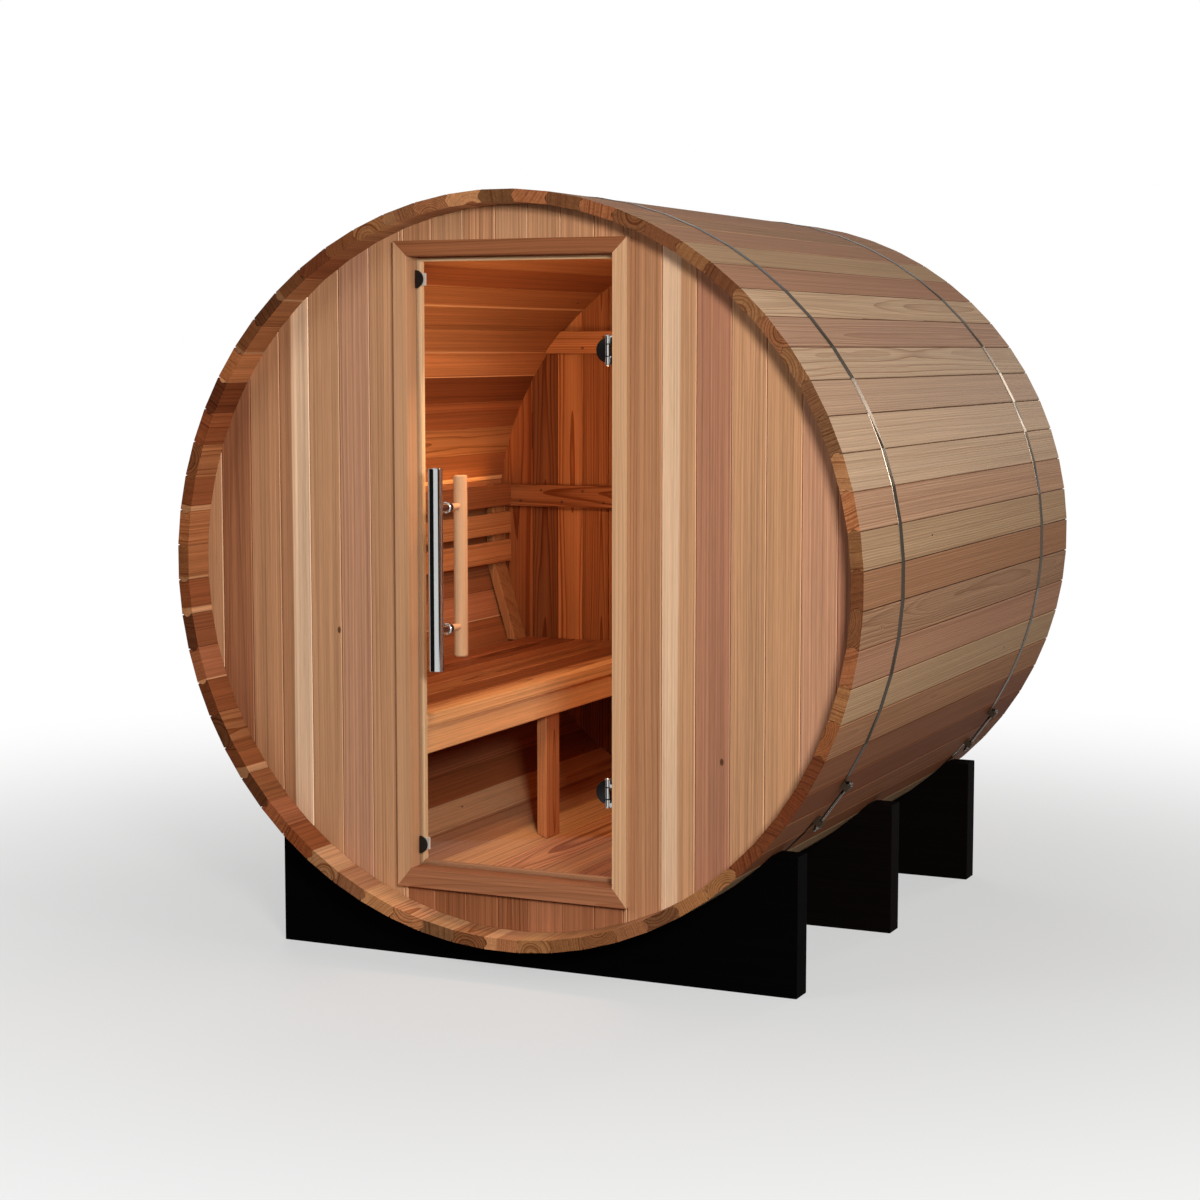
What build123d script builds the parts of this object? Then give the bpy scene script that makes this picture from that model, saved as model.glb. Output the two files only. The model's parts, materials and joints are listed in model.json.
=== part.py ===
from build123d import *
import os
from math import cos, pi, radians, sin, sqrt, tan

os.makedirs("parts", exist_ok=True)

# Barrel sauna. Millimetres, X to the right, Y from the front to the back, Z up.
# The origin is on the ground, under the middle of the barrel.

# Barrel of bead-and-cove staves
barrel_radius = 900.0
barrel_length = 1832.0
stave_count = 64
stave_thickness = 30.0
stave_gap = 0.4
bead_height = 6.5
bead_shoulder = 3.5
bead_flats = 4
stave_group_size = 8

# End walls, let into a groove near each end of the staves
wall_thickness = 36.0
wall_recess = 88.0
groove_depth = 9.0
groove_clearance = 0.4

# Cradles under the barrel
cradle_web = 76.0
cradle_half_width = 697.0
cradle_height = 336.0
cradle_thickness = 66.0
front_cradle_inset = 186.0
rear_cradle_inset = 236.0
seat_clearance = 0.3

# Steel bands with their tensioners
band_offset = 284.0
band_width = 25.0
band_thickness = 1.2
lug_angle = 126.0
lug_spacing = 112.0
lug_length = 16.0
lug_width = 25.0
lug_height = 21.0
bolt_diameter = 8.0
bolt_hole_clearance = 0.3
bolt_height = 12.0
bolt_head_height = 5.5
bolt_tail = 12.0
nut_width = 13.0
nut_height = 7.0

# Doorway and its mitred frame, whose corners keep a gap to the staves
door_x = -8.0
door_opening_half = 270.5
head_corner_gap = 20.0
sill_corner_gap = 26.0
casing_width = 37.0
sill_casing_height = 46.0
casing_projection = 22.0
jamb_thickness = 20.0
jamb_depth = 70.0
stop_width = 11.0
stop_depth = 17.0
mitre_reach = 120.0

# Glass door on two hinges
glass_thickness = 8.0
glass_clearance = 5.0
hinge_edge_gap = 11.0
stop_clearance = 7.0
hinge_pivot_inset = 20.0
hinge_pivot_reach = 16.0
hinge_end_offset = 223.5
knuckle_radius = 6.5
knuckle_height = 67.0
door_knuckle_height = 26.0
knuckle_gap = 0.5
pin_radius = 3.0
pin_clearance = 0.05
clamp_height = 58.0
clamp_width = 34.0
clamp_thickness = 6.5
clamp_gap = 0.5
leaf_thickness = 3.0
leaf_depth = 22.0
web_thickness = 7.0

# Pull handle: a metal bar outside and a wooden grip inside
handle_edge_offset = 87.0
handle_z = 3.0
handle_spacing = 295.0
bar_diameter = 36.0
bar_length = 489.0
grip_diameter = 34.0
grip_length = 445.0
handle_reach = 60.0
standoff_diameter = 23.0
peg_diameter = 17.0
stud_diameter = 10.0
stud_clearance = 0.2

# Magnetic catches at the free edge of the glass
catch_end_offset = 53.5
catch_height = 44.0
catch_width = 22.0
catch_plate = 4.0
magnet_width = 12.0
magnet_height = 30.0
magnet_depth = 7.0

# Bench along the left side
bench_edge_offset = 10.5
bench_height = 505.0
slat_thickness = 35.0
slat_width = 80.0
slat_gap = 4.0
slat_wall_gap = 2.0
end_clearance = 2.0
apron_setback = 5.0
apron_thickness = 28.0
apron_height = 65.0
bearer_thickness = 32.0
bearer_height = 58.0
leg_thickness = 30.0
leg_width = 84.0

# Backrest above the bench
rest_middle = -5.0
rest_slat_height = 66.0
rest_slat_pitch = 87.0
rest_slat_thickness = 20.0
rest_slat_count = 3
rest_support_thickness = 28.0
rest_support_width = 76.0
rest_support_overhang = 5.0

# Rails screwed across the boards of the back wall, by the heights of their middles
rail_height = 68.0
rail_thickness = 28.0
upper_rail_z = 551.0
middle_rail_z = 79.0

# Worked out from the sizes above
stave_half_angle = 180 / stave_count
inner_radius = barrel_radius - stave_thickness
corner_radius = barrel_radius / cos(radians(stave_half_angle))
cradle_radius = corner_radius + seat_clearance
axis_height = cradle_web + cradle_radius
wall_radius = inner_radius + groove_depth - groove_clearance
fit_radius = inner_radius - seat_clearance
front_y = -barrel_length / 2
back_y = barrel_length / 2
front_wall_y = front_y + wall_recess
cabin_front_y = front_wall_y + wall_thickness
cabin_back_y = -cabin_front_y
casing_y = front_wall_y - casing_projection
frame_back_y = casing_y + jamb_depth
stop_y = frame_back_y - stop_depth
glass_back_y = stop_y - stop_clearance
glass_front_y = glass_back_y - glass_thickness
casing_half = door_opening_half + casing_width
casing_reach = casing_half + abs(door_x)
door_head = sqrt((inner_radius - head_corner_gap) ** 2 - casing_reach**2) - casing_width
door_sill = sill_casing_height - sqrt((inner_radius - sill_corner_gap) ** 2 - casing_reach**2)
door_middle = (door_head + door_sill) / 2
door_right = door_x + door_opening_half
door_left = door_x - door_opening_half
pivot_x = door_right - hinge_pivot_inset
pivot_y = glass_front_y - hinge_pivot_reach


def cross_section(y):
    """Upright plane across the barrel at a depth: x to the right, y up from the axis, facing the front."""
    return Plane(origin=(0, y, axis_height), x_dir=(1, 0, 0), z_dir=(0, -1, 0))


def level(z):
    """Level plane at a height above the axis."""
    return Plane.XY.offset(axis_height + z)


def save(piece, name):
    piece.part.label = name
    export_step(piece.part, f"parts/{name}.step")


def wall_x(z):
    """Distance of the inside of the staves from the middle, at a height above the axis."""
    return sqrt(fit_radius**2 - z**2)


# One stave, lying on its end: x runs along the joint circle, y points away from the barrel's axis


def stave_side(radius):
    """Half width of a stave at a radius, with half of the joint's gap taken off."""
    return radius * tan(radians(stave_half_angle)) - stave_gap / 2 / cos(radians(stave_half_angle))


def joint_side(side):
    """Points up one side of a stave, from inside to outside, with the bead or the cove between shoulders."""
    points = [(side * stave_side(inner_radius), inner_radius)]
    for number in range(bead_flats + 1):
        bead_share = number / bead_flats
        radius = inner_radius + bead_shoulder + bead_share * (stave_thickness - 2 * bead_shoulder)
        points.append((side * stave_side(radius) - bead_height * sin(pi * bead_share), radius))
    points.append((side * stave_side(barrel_radius), barrel_radius))
    return points


with BuildPart() as stave:
    with BuildSketch(Plane.XY):
        with BuildLine():
            Polyline(*joint_side(1), *reversed(joint_side(-1)), close=True)
        make_face()
    extrude(amount=barrel_length)
    groove_width = wall_thickness + 2 * groove_clearance
    groove_start = wall_recess - groove_clearance
    for start in (groove_start, barrel_length - groove_start - groove_width):
        with BuildSketch(Plane.XY.offset(start)):
            with Locations((0, inner_radius)):
                Rectangle(2 * (stave_side(barrel_radius) + bead_height), 2 * groove_depth)
        extrude(amount=groove_width, mode=Mode.SUBTRACT)

# The barrel, in eight groups of staves, counted anticlockwise from the top seen from the front
stave_groups = (
    "roof_left_staves",
    "left_upper_staves",
    "left_lower_staves",
    "floor_left_staves",
    "floor_right_staves",
    "right_lower_staves",
    "right_upper_staves",
    "roof_right_staves",
)
stave_angle = 360 / stave_count
for group, name in enumerate(stave_groups):
    with BuildPart(cross_section(back_y)) as staves:
        with PolarLocations(
            radius=0,
            count=stave_group_size,
            start_angle=group * stave_group_size * stave_angle,
            angular_range=stave_group_size * stave_angle,
        ):
            add(stave.part)
    save(staves, name)

# Cradles: boards on edge, hollowed to the barrel
front_cradle_y = front_y + front_cradle_inset
rear_cradle_y = back_y - rear_cradle_inset
cradle_places = {
    "front_cradle": front_cradle_y,
    "middle_cradle": (front_cradle_y + rear_cradle_y) / 2,
    "rear_cradle": rear_cradle_y,
}
for name, middle_y in cradle_places.items():
    with BuildPart() as cradle:
        with BuildSketch(cross_section(middle_y + cradle_thickness / 2)):
            with Locations((0, -axis_height)):
                Rectangle(2 * cradle_half_width, cradle_height, align=(Align.CENTER, Align.MIN))
            Circle(cradle_radius, mode=Mode.SUBTRACT)
        extrude(amount=cradle_thickness)
    save(cradle, name)

# Steel bands: an open hoop that lies flat on each stave, with a lug on each end. A bolt through both
# lugs, its head on the upper one and its nut on the lower one, draws the hoop tight.
band_inside = barrel_radius + seat_clearance
band_outside = band_inside + band_thickness
lug_reach = lug_spacing + lug_length
lug_base = sqrt(band_inside**2 - (lug_reach / 2) ** 2)
bolt_radius = lug_base + band_thickness + bolt_height


def tensioner_plane(y):
    """Plane over the gap of a band: x along the bolt, y away from the barrel's axis."""
    turn = radians(lug_angle)
    return Plane(origin=(0, y, axis_height), x_dir=(cos(turn), 0, -sin(turn)), z_dir=(0, -1, 0))


for name, middle_y in (("front_band", front_y + band_offset), ("rear_band", back_y - band_offset)):
    with BuildPart() as band:
        with BuildSketch(cross_section(middle_y + band_width / 2)):
            RegularPolygon(band_outside, stave_count, major_radius=False, rotation=stave_half_angle)
            RegularPolygon(
                band_inside, stave_count, major_radius=False, rotation=stave_half_angle, mode=Mode.SUBTRACT
            )
        extrude(amount=band_width)
        with BuildSketch(tensioner_plane(middle_y + band_width / 2)):
            with Locations((0, band_outside)):
                Rectangle(lug_spacing, band_outside)
        extrude(amount=band_width, mode=Mode.SUBTRACT)
        with BuildSketch(tensioner_plane(middle_y + lug_width / 2)):
            with Locations((-lug_spacing / 2, lug_base), (lug_spacing / 2, lug_base)):
                Rectangle(lug_length, band_thickness + lug_height, align=(Align.CENTER, Align.MIN))
        extrude(amount=lug_width)
        with BuildSketch(cross_section(middle_y + lug_width / 2)):
            RegularPolygon(band_inside, stave_count, major_radius=False, rotation=stave_half_angle)
        extrude(amount=lug_width, mode=Mode.SUBTRACT)
        bolt_plane = tensioner_plane(middle_y)
        bolt_start = Plane(
            origin=bolt_plane.from_local_coords(Vector(-lug_reach / 2, bolt_radius, 0)),
            x_dir=(0, 1, 0),
            z_dir=bolt_plane.x_dir,
        )
        with BuildSketch(bolt_start):
            Rectangle(bolt_diameter + 2 * bolt_hole_clearance, bolt_diameter + 2 * bolt_hole_clearance)
        extrude(amount=lug_reach, mode=Mode.SUBTRACT)
    save(band, name)

    with BuildPart() as bolt:
        with BuildSketch(bolt_start):
            Circle(bolt_diameter / 2)
        extrude(amount=lug_reach + nut_height + bolt_tail)
        for start, height in ((-bolt_head_height, bolt_head_height), (lug_reach, nut_height)):
            with BuildSketch(bolt_start.offset(start)):
                RegularPolygon(nut_width / 2, 6, major_radius=False)
            extrude(amount=height)
    save(bolt, name + "_bolt")

# Front wall of upright boards, in four pieces around the doorway
frame_half = door_opening_half + jamb_thickness
frame_head = door_head + jamb_thickness
frame_sill = door_sill - jamb_thickness
frame_left = door_x - frame_half
frame_right = door_x + frame_half
front_wall_shapes = {
    "front_wall_left": (-wall_radius, frame_left, -wall_radius, wall_radius),
    "front_wall_right": (frame_right, wall_radius, -wall_radius, wall_radius),
    "front_wall_over_door": (frame_left, frame_right, frame_head, wall_radius),
    "front_wall_under_door": (frame_left, frame_right, -wall_radius, frame_sill),
}
for name, (left, right, bottom, top) in front_wall_shapes.items():
    with BuildPart() as wall:
        with BuildSketch(cross_section(cabin_front_y)):
            Circle(wall_radius)
            with Locations((left, bottom)):
                Rectangle(right - left, top - bottom, align=(Align.MIN, Align.MIN), mode=Mode.INTERSECT)
        extrude(amount=wall_thickness)
    save(wall, name)

# Back wall, one whole disc of boards, with two rails screwed across it inside
with BuildPart() as back_wall:
    with BuildSketch(cross_section(cabin_back_y + wall_thickness)):
        Circle(wall_radius)
    extrude(amount=wall_thickness)
save(back_wall, "back_wall")

for name, z in (("back_wall_upper_rail", upper_rail_z), ("back_wall_middle_rail", middle_rail_z)):
    with BuildPart() as rail:
        with BuildSketch(cross_section(cabin_back_y)):
            Circle(fit_radius)
            with Locations((0, z)):
                Rectangle(2 * fit_radius, rail_height, mode=Mode.INTERSECT)
        extrude(amount=rail_thickness)
    save(rail, name)

# Door frame: casing, jamb and stop in one section, mitred at the corners
opening_height = door_head - door_sill
with BuildPart() as frame_ring:
    with BuildSketch(cross_section(front_wall_y)):
        with Locations((door_x, door_head + casing_width)):
            Rectangle(
                2 * casing_half,
                opening_height + casing_width + sill_casing_height,
                align=(Align.CENTER, Align.MAX),
            )
    extrude(amount=casing_projection)
    with BuildSketch(cross_section(frame_back_y)):
        with Locations((door_x, door_middle)):
            Rectangle(2 * frame_half, opening_height + 2 * jamb_thickness)
    extrude(amount=jamb_depth - casing_projection)
    with BuildSketch(cross_section(stop_y)):
        with Locations((door_x, door_middle)):
            Rectangle(2 * door_opening_half, opening_height)
    extrude(amount=jamb_depth, mode=Mode.SUBTRACT)
    with BuildSketch(cross_section(frame_back_y)):
        with Locations((door_x, door_middle)):
            Rectangle(2 * (door_opening_half - stop_width), opening_height - 2 * stop_width)
    extrude(amount=stop_depth, mode=Mode.SUBTRACT)

sill_mitre_share = sill_casing_height / casing_width
left_far = door_left - mitre_reach
left_near = door_left + mitre_reach
right_far = door_right + mitre_reach
right_near = door_right - mitre_reach
head_far = door_head + mitre_reach
head_near = door_head - mitre_reach
sill_far = door_sill - mitre_reach * sill_mitre_share
sill_near = door_sill + mitre_reach * sill_mitre_share
left_corners = ((left_far, head_far), (left_near, head_near), (left_near, sill_near), (left_far, sill_far))
right_corners = ((right_far, head_far), (right_near, head_near), (right_near, sill_near), (right_far, sill_far))
frame_sides = {
    "door_frame_left": left_corners,
    "door_frame_right": right_corners,
    "door_frame_head": (*left_corners[:2], *reversed(right_corners[:2])),
    "door_frame_sill": (*left_corners[2:], *reversed(right_corners[2:])),
}
for name, corners in frame_sides.items():
    with BuildPart() as member:
        with BuildSketch(cross_section(frame_back_y)):
            with BuildLine():
                Polyline(*corners, close=True)
            make_face()
        extrude(amount=jamb_depth)
        add(frame_ring.part, mode=Mode.INTERSECT)
    save(member, name)

# Glass door leaf, drilled for the studs of the handle
glass_left = door_left + glass_clearance
glass_right = door_right - hinge_edge_gap
handle_x = door_left + handle_edge_offset
stud_places = [(handle_x, handle_z + side * handle_spacing / 2) for side in (-1, 1)]
with BuildPart() as glass:
    with BuildSketch(cross_section(glass_back_y)):
        with Locations((glass_left, door_middle)):
            Rectangle(
                glass_right - glass_left,
                opening_height - 2 * glass_clearance,
                align=(Align.MIN, Align.CENTER),
            )
        with Locations(*stud_places):
            Circle(stud_diameter / 2 + stud_clearance, mode=Mode.SUBTRACT)
    extrude(amount=glass_thickness)
save(glass, "door_glass")

# Hinges: a leaf on the jamb with two knuckles and the pin, and a clamp on the glass with the third
hinge_places = (door_sill + hinge_end_offset, door_head - hinge_end_offset)
with BuildPart() as leaves:
    for z in hinge_places:
        with BuildSketch(level(z - knuckle_height / 2)):
            with Locations((pivot_x, pivot_y)):
                Circle(knuckle_radius)
                Rectangle(door_right - pivot_x, web_thickness, align=(Align.MIN, Align.CENTER))
            with Locations((door_right, pivot_y)):
                Rectangle(leaf_thickness, leaf_depth, align=(Align.MAX, Align.CENTER))
        extrude(amount=knuckle_height)
        with BuildSketch(level(z - door_knuckle_height / 2 - knuckle_gap)):
            with Locations((pivot_x, pivot_y)):
                Circle(knuckle_radius + web_thickness)
                Circle(pin_radius, mode=Mode.SUBTRACT)
        extrude(amount=door_knuckle_height + 2 * knuckle_gap, mode=Mode.SUBTRACT)
save(leaves, "hinge_leaves")

clamp_right = pivot_x - clamp_gap
with BuildPart() as clamps:
    for z in hinge_places:
        for back in (glass_front_y, glass_back_y + clamp_thickness):
            with BuildSketch(cross_section(back)):
                with Locations((clamp_right, z)):
                    Rectangle(clamp_width, clamp_height, align=(Align.MAX, Align.CENTER))
                with Locations((clamp_right - clamp_width + clamp_height / 2, z)):
                    Circle(clamp_height / 2, mode=Mode.INTERSECT)
            extrude(amount=clamp_thickness)
        with BuildSketch(level(z - door_knuckle_height / 2)):
            with Locations((pivot_x, pivot_y)):
                Circle(knuckle_radius)
                Rectangle(web_thickness, glass_front_y - pivot_y, align=(Align.MAX, Align.MIN))
                Circle(pin_radius + pin_clearance, mode=Mode.SUBTRACT)
        extrude(amount=door_knuckle_height)
save(clamps, "hinge_clamps")

# Handle: a metal bar, a turned wooden grip and the standoffs that hold them
bar_y = glass_front_y - handle_reach
grip_y = glass_back_y + handle_reach
with BuildPart() as bar:
    with BuildSketch(level(handle_z - bar_length / 2)):
        with Locations((handle_x, bar_y)):
            Circle(bar_diameter / 2)
    extrude(amount=bar_length)
save(bar, "handle_bar")

with BuildPart() as grip:
    with BuildSketch(level(handle_z - grip_length / 2)):
        with Locations((handle_x, grip_y)):
            Circle(grip_diameter / 2)
    extrude(amount=grip_length)
save(grip, "handle_grip")

with BuildPart() as standoffs:
    with BuildSketch(cross_section(glass_front_y)):
        with Locations(*stud_places):
            Circle(standoff_diameter / 2)
    extrude(amount=handle_reach)
    with BuildSketch(cross_section(grip_y)):
        with Locations(*stud_places):
            Circle(peg_diameter / 2)
    extrude(amount=handle_reach)
    with BuildSketch(cross_section(glass_back_y)):
        with Locations(*stud_places):
            Circle(stud_diameter / 2)
    extrude(amount=glass_thickness)
    for y, diameter in ((bar_y, bar_diameter), (grip_y, grip_diameter)):
        with BuildSketch(level(handle_z - bar_length / 2)):
            with Locations((handle_x, y)):
                Circle(diameter / 2 + seat_clearance)
        extrude(amount=bar_length, mode=Mode.SUBTRACT)
save(standoffs, "handle_standoffs")

# Catches: a plate on the glass and a magnet on the stop behind it
catch_heights = (door_sill + catch_end_offset, door_head - catch_end_offset)
with BuildPart() as catch_plates:
    with BuildSketch(cross_section(glass_front_y)):
        with Locations(*[(glass_left, z) for z in catch_heights]):
            Circle(catch_height / 2)
        with Locations((glass_left, door_middle)):
            Rectangle(catch_width, opening_height, align=(Align.MIN, Align.CENTER), mode=Mode.INTERSECT)
    extrude(amount=catch_plate)
save(catch_plates, "catch_plates")

with BuildPart() as magnets:
    with BuildSketch(cross_section(stop_y + magnet_depth)):
        with Locations(*[(door_left + stop_width, z) for z in catch_heights]):
            Rectangle(magnet_width, magnet_height, align=(Align.MIN, Align.CENTER))
    extrude(amount=magnet_depth)
save(magnets, "catch_magnets")

# Bench: slats along the barrel on three bearers, with an apron and one leg in front
bench_length = cabin_back_y - frame_back_y - 2 * end_clearance
bench_middle = (cabin_back_y + frame_back_y) / 2
bench_front = door_left + bench_edge_offset
bench_top = bench_height - inner_radius
slat_bottom = bench_top - slat_thickness
slat_pitch = slat_width + slat_gap
slat_room = wall_x(slat_bottom) - slat_wall_gap + bench_front + slat_gap
slat_count = int(slat_room // slat_pitch)
with BuildPart() as slats:
    with BuildSketch(level(slat_bottom)):
        for number in range(slat_count):
            with Locations((bench_front - number * slat_pitch, bench_middle)):
                Rectangle(slat_width, bench_length, align=(Align.MAX, Align.CENTER))
    extrude(amount=slat_thickness)
save(slats, "bench_slats")

apron_back = bench_front - apron_setback - apron_thickness
with BuildPart() as apron:
    with BuildSketch(level(slat_bottom - apron_height)):
        with Locations((apron_back, bench_middle)):
            Rectangle(apron_thickness, bench_length, align=(Align.MIN, Align.CENTER))
    extrude(amount=apron_height)
save(apron, "bench_apron")

bearer_middles = (
    cabin_front_y + bearer_thickness / 2,
    leg_width / 2 + bearer_thickness / 2,
    cabin_back_y - bearer_thickness / 2,
)
with BuildPart() as bearers:
    for middle_y in bearer_middles:
        with BuildSketch(cross_section(middle_y + bearer_thickness / 2)):
            Circle(fit_radius)
            with Locations((apron_back, slat_bottom)):
                Rectangle(fit_radius, bearer_height, align=(Align.MAX, Align.MAX), mode=Mode.INTERSECT)
        extrude(amount=bearer_thickness)
save(bearers, "bench_bearers")

with BuildPart() as leg:
    with BuildSketch(cross_section(leg_width / 2)):
        Circle(fit_radius)
        with Locations((apron_back, slat_bottom)):
            Rectangle(leg_thickness, fit_radius, align=(Align.MAX, Align.MAX), mode=Mode.INTERSECT)
    extrude(amount=leg_width)
save(leg, "bench_leg")

# Backrest: three slats on two cranked supports that stand on the bench and lean on the staves
rest_height = (rest_slat_count - 1) * rest_slat_pitch + rest_slat_height
rest_top = rest_middle + rest_height / 2
rest_bottom = rest_middle - rest_height / 2
rest_knee = rest_bottom - rest_support_overhang
rest_face = rest_support_thickness - wall_x(rest_knee)
rest_start = frame_back_y + end_clearance
rest_end = cabin_back_y - rail_thickness - end_clearance
support_profile = (
    (-wall_x(bench_top), bench_top),
    (-wall_x(rest_knee), rest_knee),
    (-wall_x(rest_top), rest_top),
    (rest_face, rest_top),
    (rest_face, rest_knee),
    (rest_support_thickness - wall_x(bench_top), bench_top),
)
with BuildPart() as supports:
    for back in (rest_start + rest_support_width, rest_end):
        with BuildSketch(cross_section(back)):
            with BuildLine():
                Polyline(*support_profile, close=True)
            make_face()
        extrude(amount=rest_support_width)
save(supports, "backrest_supports")

with BuildPart() as rest_slats:
    with BuildSketch(cross_section(rest_end)):
        for number in range(rest_slat_count):
            with Locations((rest_face, rest_top - number * rest_slat_pitch)):
                Rectangle(rest_slat_thickness, rest_slat_height, align=(Align.MIN, Align.MAX))
    extrude(amount=rest_end - rest_start)
save(rest_slats, "backrest_slats")
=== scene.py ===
import json
import math
import random

import bmesh
import bpy
from mathutils import Matrix, Vector


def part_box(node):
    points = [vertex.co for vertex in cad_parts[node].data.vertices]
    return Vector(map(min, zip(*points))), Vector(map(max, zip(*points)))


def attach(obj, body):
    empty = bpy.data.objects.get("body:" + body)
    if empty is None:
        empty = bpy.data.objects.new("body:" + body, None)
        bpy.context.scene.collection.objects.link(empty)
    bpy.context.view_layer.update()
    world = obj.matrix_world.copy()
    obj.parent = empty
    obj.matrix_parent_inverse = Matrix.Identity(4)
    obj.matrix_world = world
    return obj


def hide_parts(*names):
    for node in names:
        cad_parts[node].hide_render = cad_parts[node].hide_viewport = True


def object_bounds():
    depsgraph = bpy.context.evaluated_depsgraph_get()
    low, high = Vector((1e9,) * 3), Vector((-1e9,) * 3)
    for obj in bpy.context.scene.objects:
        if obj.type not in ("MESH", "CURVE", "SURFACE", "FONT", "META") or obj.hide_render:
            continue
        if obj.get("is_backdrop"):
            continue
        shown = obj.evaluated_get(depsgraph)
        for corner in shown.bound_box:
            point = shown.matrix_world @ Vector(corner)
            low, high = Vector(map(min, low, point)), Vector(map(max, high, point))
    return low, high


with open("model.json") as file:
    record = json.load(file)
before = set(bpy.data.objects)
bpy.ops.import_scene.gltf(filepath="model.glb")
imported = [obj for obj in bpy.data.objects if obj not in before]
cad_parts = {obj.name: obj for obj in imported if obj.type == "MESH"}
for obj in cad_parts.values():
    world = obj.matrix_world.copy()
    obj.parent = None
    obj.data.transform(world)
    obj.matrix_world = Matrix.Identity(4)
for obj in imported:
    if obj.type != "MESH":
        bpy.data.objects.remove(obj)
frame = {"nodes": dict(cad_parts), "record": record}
cad_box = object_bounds()

# Barrel staves. Sixty-four planed cedar boards stand side by side round the barrel, each with a
# rounded tongue on one edge and a groove for the next tongue on the other. The outside is bare and
# pale, the inside warmer, partly its own colour and partly painted warm lamplight, and the sawn
# ends are dark with their growth rings showing. The slot at each joint takes the dark end-grain
# finish as painted shade.
stave_nodes = (
    "roof_left_staves",
    "left_upper_staves",
    "left_lower_staves",
    "floor_left_staves",
    "floor_right_staves",
    "right_lower_staves",
    "right_upper_staves",
    "roof_right_staves",
)
staves_per_node = 8
stave_turn = math.tau / (staves_per_node * len(stave_nodes))
stave_boxes = [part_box(node) for node in stave_nodes]
barrel_front = min(low.y for low, high in stave_boxes)
barrel_back = max(high.y for low, high in stave_boxes)
barrel_bottom = min(low.z for low, high in stave_boxes)
barrel_top = max(high.z for low, high in stave_boxes)
axis_z = (barrel_top + barrel_bottom) / 2
barrel_radius = (barrel_top - barrel_bottom) / 2
stave_thickness = 0.030
stave_gap = 0.0004
inner_radius = barrel_radius - stave_thickness
tongue_height = 0.0068
tongue_shoulder = 0.0035
tongue_flats = 8
groove_spare = 0.0006
slot_half = 0.0010
slot_depth = 0.0042
joint_chamfer = 0.0013
inner_ease = 0.0015
end_ease = 0.0007


class Shade:
    """A socket of a material's nodes. Sums, products and powers of such sockets add Math nodes."""

    def __init__(self, tree, socket=None):
        self.tree = tree
        self.socket = socket

    def node(self, kind, settings, sockets, output=0):
        """Adds a node: its settings first, then its sockets, by name or number, as values or links."""
        made = self.tree.nodes.new("ShaderNode" + kind)
        for name, value in settings.items():
            setattr(made, name, value)
        for name, value in sockets.items():
            if isinstance(value, Shade):
                self.tree.links.new(value.socket, made.inputs[name])
            else:
                made.inputs[name].default_value = value
        return Shade(self.tree, made.outputs[output] if made.outputs else None)

    def math(self, operation, *others):
        return self.node("Math", {"operation": operation}, dict(enumerate((self, *others))))

    def __add__(self, other):
        return self.math("ADD", other)

    def __sub__(self, other):
        return self.math("SUBTRACT", other)

    def __mul__(self, other):
        return self.math("MULTIPLY", other)

    def __truediv__(self, other):
        return self.math("DIVIDE", other)

    def __pow__(self, other):
        return self.math("POWER", other)

    def __rsub__(self, other):
        return self.node("Math", {"operation": "SUBTRACT"}, {0: other, 1: self})

    def __rtruediv__(self, other):
        return self.node("Math", {"operation": "DIVIDE"}, {0: other, 1: self})

    __radd__ = __add__
    __rmul__ = __mul__

    def clamped(self):
        return self.node("Math", {"operation": "ADD", "use_clamp": True}, {0: self, 1: 0.0})

    def split(self):
        """The X, Y and Z of a vector."""
        made = self.node("SeparateXYZ", {}, {0: self}).socket.node
        return [Shade(self.tree, socket) for socket in made.outputs]

    def stretched(self, scales):
        """A vector or colour times three scales."""
        return self.node("VectorMath", {"operation": "MULTIPLY"}, {0: self, 1: scales})

    def scaled(self, factor):
        """A vector or colour times one value."""
        return self.node("VectorMath", {"operation": "SCALE"}, {0: self, "Scale": factor})

    def noise(self, scales, detail=2.0):
        """Noise from 0 to 1 at this place, with its own scale along each axis."""
        place = self.stretched(scales)
        return self.node("TexNoise", {}, {"Vector": place, "Scale": 1.0, "Detail": detail})

    def mixed(self, factor, other):
        """This colour where the factor is 0 and the other one where it is 1."""
        return self.node("Mix", {"data_type": "RGBA"}, {0: factor, 6: self, 7: other}, 2)

    def between(self, first, second):
        """A colour that goes from the first to the second as this value goes from 0 to 1."""
        return self.node("Mix", {"data_type": "RGBA"}, {0: self, 6: (*first, 1.0), 7: (*second, 1.0)}, 2)

    def bump(self, strength, distance):
        """A normal from this height."""
        return self.node("Bump", {}, {"Strength": strength, "Distance": distance, "Height": self})

    def surface(self, sockets):
        """Ends the material in a Principled shader with these sockets."""
        shader = self.node("BsdfPrincipled", {}, sockets)
        self.node("OutputMaterial", {}, {"Surface": shader})


def new_finish(name):
    """An empty material and the start of its nodes."""
    material = bpy.data.materials.new(name)
    material.use_nodes = True
    material.node_tree.nodes.clear()
    return material, Shade(material.node_tree)


def paint(red, green, blue):
    """A colour as a screen shows it, from 0 to 255, as Blender's linear colour."""
    shares = [value / 255 for value in (red, green, blue)]
    return tuple(s / 12.92 if s <= 0.04045 else ((s + 0.055) / 1.055) ** 2.4 for s in shares)


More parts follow.
